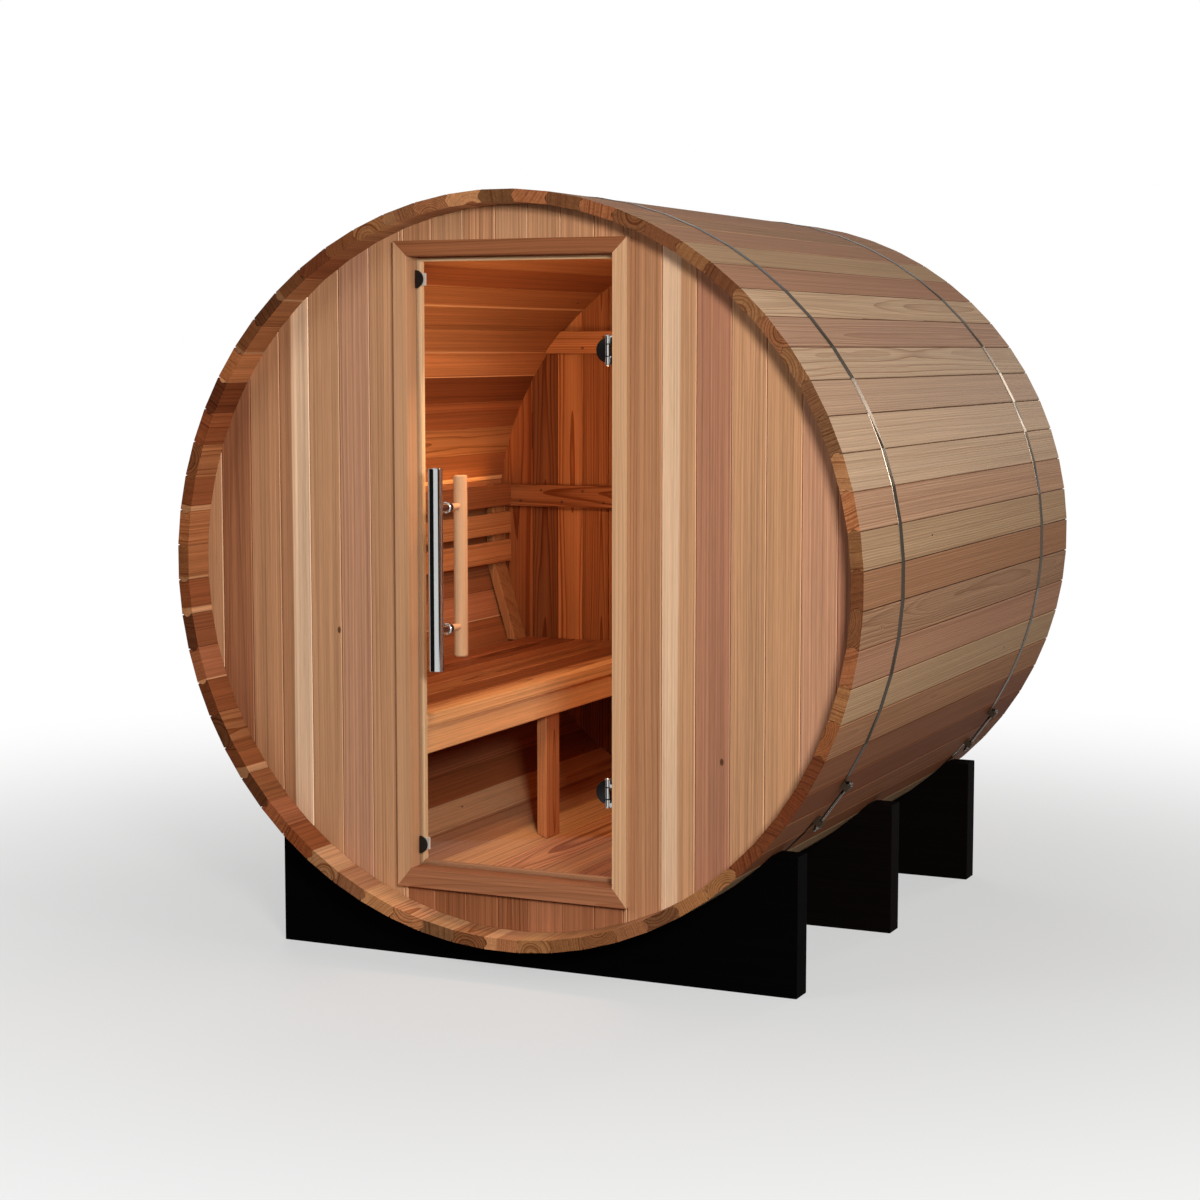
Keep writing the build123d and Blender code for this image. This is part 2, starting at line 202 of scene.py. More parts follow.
def cedar(name, level, warmth, rings, streaking, tone_spread=0.1, ribs=0.0, gloss=0.55, shine=0.12):
    """Cedar with growth rings about each board's heart. Level and warmth change the board's tint; some
    finishes raise them to paint light on the wood.
    """
    material, start = new_finish(name)
    grain = start.node("Attribute", {"attribute_name": "grain"}, {}, "Vector")
    tint = start.node("Attribute", {"attribute_name": "tint"}, {}, "Color")
    figure = start.node("Attribute", {"attribute_name": "tint"}, {}, "Alpha")
    knot = start.node("Attribute", {"attribute_name": "knot"}, {}, "Vector")
    cut = start.node("Attribute", {"attribute_name": "cut"}, {}, "Vector")
    knot_across, knot_along, knot_size = knot.split()
    sap_radius, tone, ring_width = cut.split()
    across, along, _ = grain.split()
    aside = across - knot_across
    ahead = (along - knot_along) * 0.55
    knot_distance = (aside * aside + ahead * ahead) ** 0.5
    knot_share = ((knot_size - knot_distance) / knot_edge).clamped()
    reach = knot_distance / (knot_size * 2.4 + 0.0005)
    bulge = (reach * reach * -1.0).math("EXPONENT") * knot_size * 1.6
    swing = grain.noise(swing_scales, 1.0) - 0.5
    ripple = grain.noise(ripple_scales, 1.0) - 0.5
    flat_grain = grain.stretched((1.0, 0.0, 1.0))
    heart_distance = start.node("VectorMath", {"operation": "LENGTH"}, {0: flat_grain}, "Value")
    radius = heart_distance + swing * figure * 0.045 + ripple * figure * 0.004 + bulge
    season = start.node("TexNoise", {"noise_dimensions": "1D"}, {"W": radius * 60.0, "Scale": 1.0})
    late_wood = (radius / ring_width + season * 2.6).math("FRACT") ** 3.0
    bands = grain.noise(band_scales) - 0.5
    streaks = grain.noise(streak_scales) - 0.5
    fibres = grain.noise(fibre_scales) - 0.5
    variation = 1.0 + (bands * 0.45 + streaks * 0.9 + fibres * 0.5) * streaking
    sapwood = ((radius - sap_radius) / sapwood_edge).clamped()
    body = tint.mixed(sapwood * 0.85, (*sapwood_pale, 1.0))
    body = body.stretched(warmth).scaled(variation * (level + (tone - 0.5) * tone_spread))
    ring_share = late_wood * (season * 2.2 - 0.3) * (1.0 - sapwood * 0.6) * (figure * 0.7 + 0.3)
    ring_share = (ring_share * rings).clamped()
    ringed = body.mixed(ring_share, body.stretched(late_wood_tint))
    colour = ringed.mixed(knot_share * 0.85, (*knot_brown, 1.0))
    height = fibres * 0.6 + late_wood * 0.4 + knot_share * 0.5
    if ribs:
        planed = (across * (math.tau / rib_spacing) + ripple * 8.0).math("SINE") * 0.5 + 0.5
        planed = planed * (bands * 2.5 + 0.65).clamped()
        colour = colour.scaled(1.0 - planed * ribs)
        height = height + planed * 1.6
    start.surface(
        {
            "Base Color": colour,
            "Roughness": (gloss + fibres * 0.3 - late_wood * 0.06).clamped(),
            "Specular IOR Level": shine,
            "Normal": height.bump(0.4, grain_height),
        }
    )
    return material


swing_scales = (5.0, 0.8, 5.0)
ripple_scales = (26.0, 4.5, 26.0)
band_scales = (36.0, 0.4, 36.0)
streak_scales = (210.0, 1.1, 210.0)
fibre_scales = (1100.0, 16.0, 1100.0)
grain_height = 0.0006
rib_spacing = 0.0062
knot_edge = 0.0018
sapwood_edge = 0.003
late_wood_tint = (0.52, 0.38, 0.28)
sapwood_pale = paint(216, 180, 148)
knot_brown = paint(70, 38, 22)
stave_outside = cedar("stave_outside", 1.0, (1.0, 1.0, 1.0), 0.9, 0.7, ribs=0.2, gloss=0.6, shine=0.015)
# End grain of the staves, also laid in the joint slots as painted shade.
ends_and_slot_shade = cedar("stave_end_grain_and_slot_shade", 0.48, (1.0, 0.68, 0.44), 2.2, 0.9, tone_spread=0.55)
# The inside finish is warmer: partly the wood's own colour, partly painted warm lamplight.
stave_inside = cedar("stave_inside", 0.92, (1.04, 0.82, 0.64), 1.4, 1.0, tone_spread=0.3)

cream = paint(206, 170, 134)
honey = paint(188, 141, 104)
rose = paint(180, 133, 104)
tan = paint(174, 125, 90)
russet = paint(150, 97, 67)
pale = paint(204, 170, 138)
blush = paint(192, 150, 122)
wheat = paint(194, 158, 122)
fawn = paint(180, 138, 106)
umber = paint(124, 74, 48)
chestnut = paint(138, 85, 54)
brick = paint(164, 114, 88)
far_from_heart = 9.0
edge_grain_distance = 0.3
edge_grain_figure = 0.25
cathedral_aside = (-0.02, 0.02)
cathedral_depth = (0.018, 0.05)
cathedral_figure = (0.8, 1.5)
straight_aside = (0.12, 0.4)
straight_depth = (-0.1, 0.1)
straight_figure = (0.25, 0.6)
sap_places = (-0.02, 0.03)
log_places = (5.0, 25.0)
ring_widths = (0.005, 0.0065, 0.0085, 0.011)
chance = random.Random(64)


def grain_layers(bm):
    """The mesh layers that carry a board's grain, knot, cut and tint to its material."""
    layers = bm.verts.layers
    vectors = [layers.float_vector.new(name) for name in ("grain", "knot", "cut")]
    return *vectors, layers.float_color.new("tint")


def saw_board(layers, verts, axes, tints, cathedral_share, sap_share=0.0, sap_edge=None, knot=None):
    """Cuts a board from a log, with axes across, along and through it. Chance picks its place in the log.

    A sap edge is the side the pale sapwood is on, -1 or 1, and where it starts, from the board's middle.
    """
    grain_layer, knot_layer, cut_layer, tint_layer = layers
    middle = sum((v.co for v in verts), Vector()) / len(verts)
    if chance.random() < cathedral_share:
        aside = chance.uniform(*cathedral_aside)
        heart = Vector((aside, 0.0, chance.choice((-1, 1)) * chance.uniform(*cathedral_depth)))
        figure = chance.uniform(*cathedral_figure)
    else:
        aside = chance.choice((-1, 1)) * chance.uniform(*straight_aside)
        heart = Vector((aside, 0.0, chance.uniform(*straight_depth)))
        figure = chance.uniform(*straight_figure)
    sap_radius = heart.length + chance.uniform(*sap_places)
    if chance.random() > sap_share:
        sap_radius = far_from_heart
    if sap_edge:
        heart = Vector((edge_grain_distance * sap_edge[0], 0.0, 0.0))
        figure = edge_grain_figure
        sap_radius = heart.length + sap_edge[0] * sap_edge[1]
    heart.y = chance.uniform(*log_places)
    ring_width = chance.choice(ring_widths)
    first, second = chance.choice(tints), chance.choice(tints)
    share = chance.random() * 0.5
    light = chance.uniform(0.92, 1.07)
    tone = chance.random()
    colour = [light * ((1 - share) * a + share * b) for a, b in zip(first, second)]
    for v in verts:
        place = v.co - middle
        v[grain_layer] = Vector([place.dot(axis) for axis in axes]) + heart
        v[cut_layer] = (sap_radius, tone, ring_width)
        v[tint_layer] = (*colour, figure)
        if knot:
            v[knot_layer] = (heart.x + knot[0], heart.y + knot[1], knot[2])


def object_from(bm, name, materials):
    """Puts the mesh in the scene as an object with these finishes."""
    mesh = bpy.data.meshes.new(name)
    bm.to_mesh(mesh)
    bm.free()
    for material in materials:
        mesh.materials.append(material)
    made = bpy.data.objects.new(name, mesh)
    bpy.context.scene.collection.objects.link(made)
    return made


def finished(bm, name, materials, body, nodes=(), rounded=False):
    """Makes the mesh a piece of the part that rides on a body and stands for some nodes."""
    if rounded:
        bm.normal_update()
        for face in bm.faces:
            face.smooth = True
        for edge in bm.edges:
            edge.smooth = edge.is_manifold and edge.calc_face_angle() < smooth_turn
    piece = object_from(bm, name, materials)
    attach(piece, body)
    if nodes:
        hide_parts(*nodes)
    return piece


smooth_turn = math.radians(32)


def stave_side(height):
    """Half the width of a stave at a height above its inner face."""
    return (inner_radius + height) * math.tan(stave_turn / 2) - stave_gap / 2


def bevel(bm, edges, offset, segments):
    """Rounds some edges."""
    bmesh.ops.bevel(
        bm,
        geom=edges,
        offset=offset,
        segments=segments,
        profile=0.5,
        affect="EDGES",
        material=-1,
        clamp_overlap=True,
    )


def drawn_out(bm, corners, reach):
    """Adds a bar: an outline, as its corners in order, drawn out along a vector."""
    face = bm.faces.new([bm.verts.new(corner) for corner in corners])
    grown = bmesh.ops.extrude_face_region(bm, geom=[face])
    moved = [item for item in grown["geom"] if isinstance(item, bmesh.types.BMVert)]
    bmesh.ops.translate(bm, verts=moved, vec=reach)


def stave_edge(side, dip):
    """Points up one edge of a stave, with its tongue or groove a dip to the left between shoulders."""
    points = [(side * stave_side(0.0), 0.0)]
    for number in range(tongue_flats + 1):
        share = number / tongue_flats
        height = tongue_shoulder + share * (stave_thickness - tongue_shoulder - slot_depth)
        points.append((side * stave_side(height) - dip * math.sin(math.pi * share), height))
    slot_foot = stave_thickness - slot_depth
    slot_top = stave_thickness - joint_chamfer
    points.append((side * (stave_side(slot_foot) - slot_half), slot_foot))
    points.append((side * (stave_side(slot_top) - slot_half), slot_top))
    points.append((side * (stave_side(stave_thickness) - slot_half - joint_chamfer), stave_thickness))
    return points


def stave_mesh():
    """One stave at the top of the barrel.

    Its outside has finish 0, its sawn ends finish 1 and its inside finish 2. Its edges and the
    slot at each joint take finish 1 too, which paints shade into the joint.
    """
    outline = stave_edge(-1, tongue_height) + stave_edge(1, tongue_height + groove_spare)[::-1]
    bm = bmesh.new()
    base = axis_z + inner_radius
    corners = [(x, barrel_front, base + height) for x, height in outline]
    drawn_out(bm, corners, (0, barrel_back - barrel_front, 0))
    bmesh.ops.recalc_face_normals(bm, faces=bm.faces)
    inside = [e for e in bm.edges if all(v.co.z < base + inner_ease / 2 for v in e.verts)]
    along = [e for e in inside if abs(e.verts[0].co.y - e.verts[1].co.y) > stave_thickness]
    bevel(bm, along, inner_ease, 2)
    ends = [e for e in bm.edges if abs(e.verts[0].co.y - e.verts[1].co.y) < inner_ease]
    bevel(bm, ends, end_ease, 1)
    for face in bm.faces:
        height = face.calc_center_median().z - base
        if abs(face.normal.y) > 0.5:
            face.material_index = 1
        elif height < 2 * inner_ease:
            face.material_index = 2
        # Edges and joint slots take the dark end-grain finish: painted shade in the joint.
        elif height < stave_thickness - joint_chamfer:
            face.material_index = 1
    mesh = bpy.data.meshes.new("stave")
    bm.to_mesh(mesh)
    bm.free()
    return mesh


stave = stave_mesh()
stave_tints = (pale, blush, wheat, blush, fawn, wheat, tan)
# Staves 21 to 25 lie under the bench; their darker tints are painted shade.
under_bench = range(21, 26)
under_bench_shade_tints = (tan, russet, brick, tan, chestnut, russet, tan)
picked_tints = {
    5: (tan,),
    6: (russet,),
    7: (tan, honey),
    8: (tan, brick),
    9: (tan,),
    10: (tan,),
    11: (umber,),
    12: (umber, russet),
    13: (tan,),
    14: (russet,),
    15: (tan, russet),
    16: (tan, brick),
    17: (russet,),
    18: (russet, brick),
    19: (russet, brick),
    20: (russet,),
    # Staves 40 to 45, low on the right, take darker tints than the usual ones: painted shade on the lower
    # barrel.
    40: (russet,),
    41: (russet,),
    42: (russet, umber),
    43: (russet,),
    44: (fawn, tan),
    45: (fawn, wheat),
    46: (rose,),
    47: (fawn,),
    48: (tan, rose),
    49: (wheat, fawn),
    50: (fawn, blush),
    51: (pale,),
    52: (blush, pale),
    53: (pale, blush),
    54: (blush, pale),
    55: (blush,),
    56: (wheat, pale),
    57: (rose,),
    58: (fawn, wheat),
    59: (rose, fawn),
    60: (fawn,),
    61: (rose,),
    62: (fawn,),
    63: (rose, fawn),
}
stave_cathedral_share = 0.35
stave_sap_share = 0.3
stave_knot_share = 0.3
knot_aside = 0.03
knot_reach = 0.8
knot_sizes = (0.002, 0.005)
figured_staves = (13, 44, 47, 54, 55, 56, 60)
sappy_staves = {7: -0.03, 9: -0.034, 10: -0.036, 14: -0.026, 16: -0.032, 17: -0.024, 19: -0.036}
board_axes = (Vector((1, 0, 0)), Vector((0, 1, 0)), Vector((0, 0, 1)))
to_axis = Matrix.Translation((0, 0, axis_z))
for group, node in enumerate(stave_nodes):
    bm = bmesh.new()
    layers = grain_layers(bm)
    for number in range(staves_per_node):
        before = len(bm.verts)
        bm.from_mesh(stave)
        bm.verts.ensure_lookup_table()
        verts = bm.verts[before:]
        knot = None
        if chance.random() < stave_knot_share:
            aside = chance.uniform(-knot_aside, knot_aside)
            knot = (aside, chance.uniform(-knot_reach, knot_reach), chance.uniform(*knot_sizes))
        place = group * staves_per_node + number
        if place in picked_tints:
            tints = picked_tints[place]
            figured = float(place in figured_staves)
            sap_edge = (-1, sappy_staves[place]) if place in sappy_staves else None
            saw_board(layers, verts, board_axes, tints, figured, sap_edge=sap_edge, knot=knot)
        else:
            tints = under_bench_shade_tints if place in under_bench else stave_tints
            saw_board(layers, verts, board_axes, tints, stave_cathedral_share, stave_sap_share, knot=knot)
        turn = Matrix.Rotation(-place * stave_turn, 4, "Y")
        bmesh.ops.transform(bm, matrix=to_axis @ turn @ to_axis.inverted(), verts=verts)
    name = node.replace("_staves", "_cedar_staves")
    finished(bm, name, (stave_outside, ends_and_slot_shade, stave_inside), "shell", [node])

# Cradles. Three heavy boards on edge, hollowed to the barrel and stained black all over. Their arrises
# are eased, and the stain leaves a little grain showing where light rakes along it.


def merged_copy(node):
    """A node's shape as a mesh of its own, with its loose triangles merged."""
    bm = bmesh.new()
    bm.from_mesh(frame["nodes"][node].data)
    bmesh.ops.remove_doubles(bm, verts=bm.verts, dist=merge_distance)
    return bm


def sharp_edges(bm, least_turn):
    """The edges where two faces meet at more than a turn."""
    return [edge for edge in bm.edges if edge.is_manifold and edge.calc_face_angle() > least_turn]


def eased_copy(node, ease):
    """A node's shape as one clean mesh, with its sharp edges rounded."""
    bm = merged_copy(node)
    bmesh.ops.dissolve_limit(bm, angle_limit=flat_turn, verts=bm.verts, edges=bm.edges)
    if ease:
        bevel(bm, sharp_edges(bm, sharp_turn), ease, 2)
    bm.normal_update()
    return bm


def solids(bm):
    """The separate solids of a mesh, each as a list of its vertices."""
    seen = set()
    for first in bm.verts:
        if first in seen:
            continue
        seen.add(first)
        found = [first]
        for vert in found:
            for edge in vert.link_edges:
                other = edge.other_vert(vert)
                if other not in seen:
                    seen.add(other)
                    found.append(other)
        yield found


def boards_from(node, name, ease, tints, cathedral_share, materials):
    """Turns each solid of a node into an eased board, with its grain along the longest side."""
    bm = eased_copy(node, ease)
    layers = grain_layers(bm)
    for verts in solids(bm):
        sides = [max(v.co[i] for v in verts) - min(v.co[i] for v in verts) for i in range(3)]
        depth, across, along = sorted(range(3), key=lambda i: sides[i])
        axes = [Vector([float(i == axis) for i in range(3)]) for axis in (across, along, depth)]
        saw_board(layers, verts, axes, tints, cathedral_share)
    return finished(bm, name, materials, "shell", [node])


merge_distance = 0.00001
flat_turn = math.radians(1)
sharp_turn = math.radians(25)
cradle_ease = 0.002
cradle_cathedral_share = 0.3
stains = (paint(4, 3, 3), paint(10, 7, 6))
stained_wood = cedar("black_stained_wood", 1.0, (1.0, 1.0, 1.0), 0.5, 0.8, gloss=0.75, shine=0.01)
for place in ("front", "middle", "rear"):
    boards_from(
        place + "_cradle",
        place + "_stained_cradle",
        cradle_ease,
        stains,
        cradle_cathedral_share,
        (stained_wood,),
    )

# Steel bands. Two flat steel strips lie on the staves, with a block welded to each end. A long bolt
# through both blocks draws the strip tight: its hex head bears on the upper block, its nut on the lower.


def metal(name, colour, roughness, marks_depth, mark_scales, edge=(1.0, 1.0, 1.0)):
    """Bare metal with fine marks, the odd smudge and its own colour where light grazes it."""
    material, start = new_finish(name)
    place = start.node("TexCoord", {}, {}, "Object")
    marks = place.noise(mark_scales, 3.0)
    smudge = place.noise((9.0, 9.0, 9.0))
    dull = [value * 0.8 for value in colour]
    start.surface(
        {
            "Base Color": (marks * 0.7 + smudge * 0.5).clamped().between(colour, dull),
            "Metallic": 1.0,
            "Specular Tint": (*edge, 1.0),
            "Roughness": (roughness + (smudge + marks * 0.5) * marks_depth).clamped(),
            "Normal": marks.bump(0.15, mark_height),
        }
    )
    return material


def turned(bm, profile, start, axis, finish=0, steps=32):
    """Adds a turned solid: its profile is pairs of radius and distance from the start along an axis."""
    before = set(bm.verts)
    side = axis.orthogonal().normalized()
    verts = [bm.verts.new(start + axis * along + side * radius) for radius, along in profile]
    edges = [bm.edges.new(pair) for pair in zip(verts, verts[1:])]
    bmesh.ops.spin(
        bm, geom=[*verts, *edges], cent=start, axis=axis, angle=math.tau, steps=steps, use_merge=True
    )
    added = [v for v in bm.verts if v not in before]
    bmesh.ops.remove_doubles(bm, verts=added, dist=seam_distance)
    added = [v for v in bm.verts if v not in before]
    faces = {face for v in added for face in v.link_faces}
    bmesh.ops.recalc_face_normals(bm, faces=list(faces))
    for face in faces:
        face.material_index = finish
    return added


def disc_profile(radius, low, high, ease):
    """The profile of a disc or rod with eased rims."""
    side = [(radius - ease, low), (radius, low + ease), (radius, high - ease), (radius - ease, high)]
    return [(0.0, low), *side, (0.0, high)]


def from_axis(place):
    """How far a place is from the barrel's axis."""
    return (place - Vector((0, place.y, axis_z))).length


mark_height = 0.0002
seam_distance = 0.000001
strip_reach = 0.002
block_radius = inner_radius + stave_thickness + strip_reach
tensioner_turn = math.radians(126.0)
bolt_out = Vector((math.sin(tensioner_turn), 0.0, math.cos(tensioner_turn)))
bolt_along = Vector((math.cos(tensioner_turn), 0.0, -math.sin(tensioner_turn)))
block_ease = 0.0012
bolt_radius = 0.004
thread_pitch = 0.00125
thread_depth = 0.0005
hex_sides = 6
hex_radius = 0.0075
hex_ease = 0.0008
head_height = 0.0055
nut_height = 0.007
bolt_tail = 0.012
washer_radius = 0.0105
washer_thickness = 0.0016
washer_ease = 0.0003
rolled_marks = (60.0, 1400.0, 60.0)
cast_marks = (300.0, 300.0, 300.0)
plated_marks = (500.0, 500.0, 500.0)
band_steel = metal("rolled_steel", paint(82, 73, 64), 0.16, 0.08, rolled_marks, paint(186, 183, 180))
block_steel = metal("cast_block_steel", paint(84, 72, 60), 0.3, 0.15, cast_marks, paint(190, 182, 174))
bolt_steel = metal("plated_steel", paint(128, 122, 116), 0.08, 0.08, plated_marks, paint(224, 220, 216))
for place in ("front", "rear"):
    node = place + "_band"
    bm = merged_copy(node)
    sharp = sharp_edges(bm, sharp_turn)
    tops = [edge for edge in sharp if all(from_axis(v.co) > block_radius for v in edge.verts)]
    bevel(bm, tops, block_ease, 2)
    for face in bm.faces:
        if from_axis(face.calc_center_median()) > block_radius:
            face.material_index = 1
    finished(bm, place + "_steel_band", (band_steel, block_steel), "shell", [node])

    node = place + "_band_bolt"
    corners = [v.co - Vector((0, 0, axis_z)) for v in frame["nodes"][node].data.vertices]
    outs = [corner.dot(bolt_out) for corner in corners]
    alongs = [corner.dot(bolt_along) for corner in corners]
    low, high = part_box(node)
    start = bolt_out * (min(outs) + max(outs)) / 2 + Vector((0, (low.y + high.y) / 2, axis_z))
    upper_face = min(alongs) + head_height
    lower_face = max(alongs) - nut_height - bolt_tail
    bolt_end = max(alongs)
    bm = bmesh.new()
    thread = [(0.0, upper_face - washer_thickness), (bolt_radius, upper_face - washer_thickness)]
    for number in range(int((bolt_end - upper_face) / thread_pitch)):
        crest = upper_face + number * thread_pitch
        thread += [(bolt_radius, crest), (bolt_radius - thread_depth, crest + thread_pitch / 2)]
    thread += [(bolt_radius - 2 * thread_depth, bolt_end), (0.0, bolt_end)]
    turned(bm, thread, start, bolt_along, steps=16)
    washers = ((upper_face - washer_thickness, upper_face), (lower_face, lower_face + washer_thickness))
    for washer_low, washer_high in washers:
        turned(bm, disc_profile(washer_radius, washer_low, washer_high, washer_ease), start, bolt_along)
    head_foot = upper_face - washer_thickness
    head = disc_profile(hex_radius, head_foot - head_height, head_foot, hex_ease)
    turned(bm, head, start, bolt_along, steps=hex_sides)
    nut_foot = lower_face + washer_thickness
    nut = disc_profile(hex_radius, nut_foot, nut_foot + nut_height, hex_ease)
    turned(bm, nut, start, bolt_along, steps=hex_sides)
    finished(bm, place + "_tension_bolt", (bolt_steel,), "shell", [node], rounded=True)

# End walls. Upright cedar boards with eased edges stand tongue to groove across each end, cut to the
# round of the staves. The front wall leaves room for the door frame, and the back wall is whole, with
# two rails screwed across its boards inside.
wall_pitch = 0.086
wall_chamfer = 0.0018
wall_slot = 0.0007
wall_slot_depth = 0.006
casing_low, casing_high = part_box("door_frame_head")
door_x = (casing_low.x + casing_high.x) / 2
# A paler copy of the wall finish for the outside chamfers at each joint: a painted highlight.
painted_arris_highlight = cedar("painted_arris_highlight", 1.6, (0.95, 1.03, 1.12), 0.3, 0.5, shine=0.06)
wall_outside = cedar("wall_boards", 1.0, (1.0, 1.0, 1.0), 0.8, 1.0, shine=0.06)
# The cabin finish is warmer than the outside: partly the wood's own colour, partly painted warm
# lamplight.
cabin_wood = cedar("cabin_boards", 0.92, (1.04, 0.82, 0.64), 1.6, 1.0, tone_spread=0.55)
cabin_tints = (honey, tan, tan, russet)
upright_axes = (Vector((1, 0, 0)), Vector((0, 0, 1)), Vector((0, 1, 0)))


def board_wall(node, name, joint_x, usual, chosen):
    """Fills a node's place with upright boards, counted from a joint and trimmed to the staves."""
    low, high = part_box(node)
    bm = bmesh.new()
    layers = grain_layers(bm)
    first = math.floor((low.x - joint_x) / wall_pitch)
    last = math.ceil((high.x - joint_x) / wall_pitch)
    for number in range(first, last):
        x_start = max(joint_x + number * wall_pitch, low.x)
        x_end = min(joint_x + (number + 1) * wall_pitch, high.x)
        if x_end - x_start < 4 * wall_chamfer:
            continue
        middle_x = (x_start + x_end) / 2
        middle_y = (low.y + high.y) / 2
        half = (x_end - x_start) / 2
        half_depth = (high.y - low.y) / 2
        quarter = [
            (half, half_depth - wall_slot_depth),
            (half - wall_slot, half_depth - wall_slot_depth),
            (half - wall_slot, half_depth - wall_chamfer),
            (half - wall_slot - wall_chamfer, half_depth),
        ]
        outline = quarter + [(-x, y) for x, y in reversed(quarter)]
        outline += [(-x, -y) for x, y in quarter] + [(x, -y) for x, y in reversed(quarter)]
        before = set(bm.verts)
        corners = [(middle_x + x, middle_y + y, low.z) for x, y in outline]
        drawn_out(bm, corners, (0, 0, high.z - low.z))
        board = [v for v in bm.verts if v not in before]
        saw_board(layers, board, upright_axes, **{**usual, **chosen.get(number, {})})
    for number in range(staves_per_node * len(stave_nodes)):
        turn = number * stave_turn
        out = Vector((math.sin(turn), 0.0, math.cos(turn)))
        cut = bmesh.ops.bisect_plane(
            bm,
            geom=[*bm.verts, *bm.edges, *bm.faces],
            plane_co=out * (inner_radius - stave_gap) + Vector((0, 0, axis_z)),
            plane_no=out,
            clear_outer=True,
        )
        edges = [item for item in cut["geom_cut"] if isinstance(item, bmesh.types.BMEdge)]
        bmesh.ops.holes_fill(bm, edges=edges)
    bmesh.ops.recalc_face_normals(bm, faces=bm.faces)
    cabin_side = -1 if low.y > 0 else 1
    for face in bm.faces:
        # Board sides and joint slots take the dark end-grain finish, which paints shade into each joint.
        if abs(face.normal.x) > 0.9:
            face.material_index = 2
        elif face.normal.y * cabin_side > 0.5:
            face.material_index = 1
        # The outside chamfers take the pale arris finish, a painted highlight along each joint.
        elif abs(face.normal.x) > 0.3:
            face.material_index = 3
    finishes = (wall_outside, cabin_wood, ends_and_slot_shade, painted_arris_highlight)
    return finished(bm, name, finishes, "shell", [node])


front_boards = {
    -11: {"tints": (blush, honey)},
    -10: {"tints": (tan, russet), "cathedral_share": 1.0},
    -9: {"tints": (tan, rose)},
    -8: {"tints": (tan, russet), "sap_edge": (1, -0.010)},
    -7: {"tints": (honey, tan), "knot": (0.036, -0.16, 0.0055)},
    -6: {"tints": (rose, honey)},
    -5: {"tints": (tan, honey)},
    3: {"tints": (tan,)},
    4: {"tints": (honey,), "sap_edge": (-1, 0.002)},
    5: {"tints": (brick,), "knot": (0.024, -0.4185, 0.0055)},
    6: {"tints": (honey, blush)},
    7: {"tints": (rose, honey)},
    8: {"tints": (rose, blush)},
    9: {"tints": (brick,)},
}
front_usual = {"tints": (honey, tan), "cathedral_share": 0.2}
# The boards under the door take darker tints: painted shade low on the wall.
under_usual = {"tints": (chestnut, russet), "cathedral_share": 0.4}
back_usual = {"tints": (tan, russet, chestnut), "cathedral_share": 0.65}
for place in ("left", "right", "over_door", "under_door"):
    node = "front_wall_" + place
    usual = under_usual if place == "under_door" else front_usual
    board_wall(node, node + "_boards", door_x + wall_pitch / 2, usual, front_boards)
board_wall("back_wall", "back_wall_boards", wall_pitch / 4, back_usual, {})


def specked(name, scale, dark, light, roughness, spread=0.0, relief=0.0, **settings):
    """A finish in fine specks from dark to light, which may spread its roughness and stand in relief."""
    material, start = new_finish(name)
    speck = start.node("TexCoord", {}, {}, "Object").noise((scale, scale, scale))
    sockets = {"Base Color": speck.between(dark, light), "Roughness": roughness}
    if spread:
        sockets["Roughness"] = roughness + speck * spread
    if relief:
        sockets["Normal"] = speck.bump(relief, mark_height)
    start.surface({**sockets, **settings})
    return material


screw_black = specked("blackened_screws", 900.0, paint(22, 18, 15), paint(44, 36, 30), 0.4, Metallic=0.6)
rail_ease = 0.0025
rail_cathedral_share = 0.3
inward = Vector((0, 1, 0))
screw_spacing = 0.142
screw_rise = 0.017
screw_profile = [
    (0.0, 0.0012),
    (0.0014, 0.0006),
    (0.002, -0.0002),
    (0.004, -0.0002),
    (0.0045, 0.0008),
    (0.003, 0.006),
    (0.0, 0.006),
]
bm = bmesh.new()
for place in ("upper", "middle"):
    node = f"back_wall_{place}_rail"
    name = node + "_board"
    boards_from(node, name, rail_ease, (tan, russet), rail_cathedral_share, (cabin_wood,))
    low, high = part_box(node)
    count = int((high.x - low.x - screw_spacing) / screw_spacing)
    for number in range(2 * count + 1):
        x = (low.x + high.x) / 2 + (number - count) * screw_spacing / 2
        rise = screw_rise if number % 2 else -screw_rise
        screw_at = Vector((x, low.y, (low.z + high.z) / 2 + rise))
        turned(bm, screw_profile, screw_at, inward, steps=12)
finished(bm, "rail_screws", (screw_black,), "shell", rounded=True)

# Door frame. Cedar casing, jamb and stop are worked in one section and mitred at the corners, with
# the arrises just taken off. The stop on the sides and head is tinted pale, a painted highlight of
# the cabin light falling on it; on the sill it is tan.
frame_wood = cedar("frame_wood", 1.0, (1.0, 1.0, 1.0), 0.6, 0.7)
frame_tints = {"left": (honey,), "right": (honey, wheat), "head": (chestnut,), "sill": (russet, tan)}
glass_low, glass_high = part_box("door_glass")
moulding_ease = 0.0016
frame_cathedral_share = 0.2
stop_inset = 0.002
# A pale tint painted where light falls: on the door stop and on the bench nose.
painted_light_pale = paint(232, 198, 158)
stop_figure = 0.3
glass_spare = 0.005
hinge_spare = 0.011
door_left = glass_low.x - glass_spare
door_right = glass_high.x + hinge_spare
door_sill = glass_low.z - glass_spare
door_head = glass_high.z + glass_spare
stop_low = (door_left + stop_inset, casing_low.y, door_sill + stop_inset)
stop_high = (door_right - stop_inset, casing_high.y, door_head - stop_inset)


def retint(piece, colour, low, high):
    """Gives another tint to the part of a piece that is inside a box."""
    tints = piece.data.attributes["tint"].data
    for vert in piece.data.vertices:
        if all(a < value < b for a, value, b in zip(low, vert.co, high)):
            tints[vert.index].color = (*colour, stop_figure)


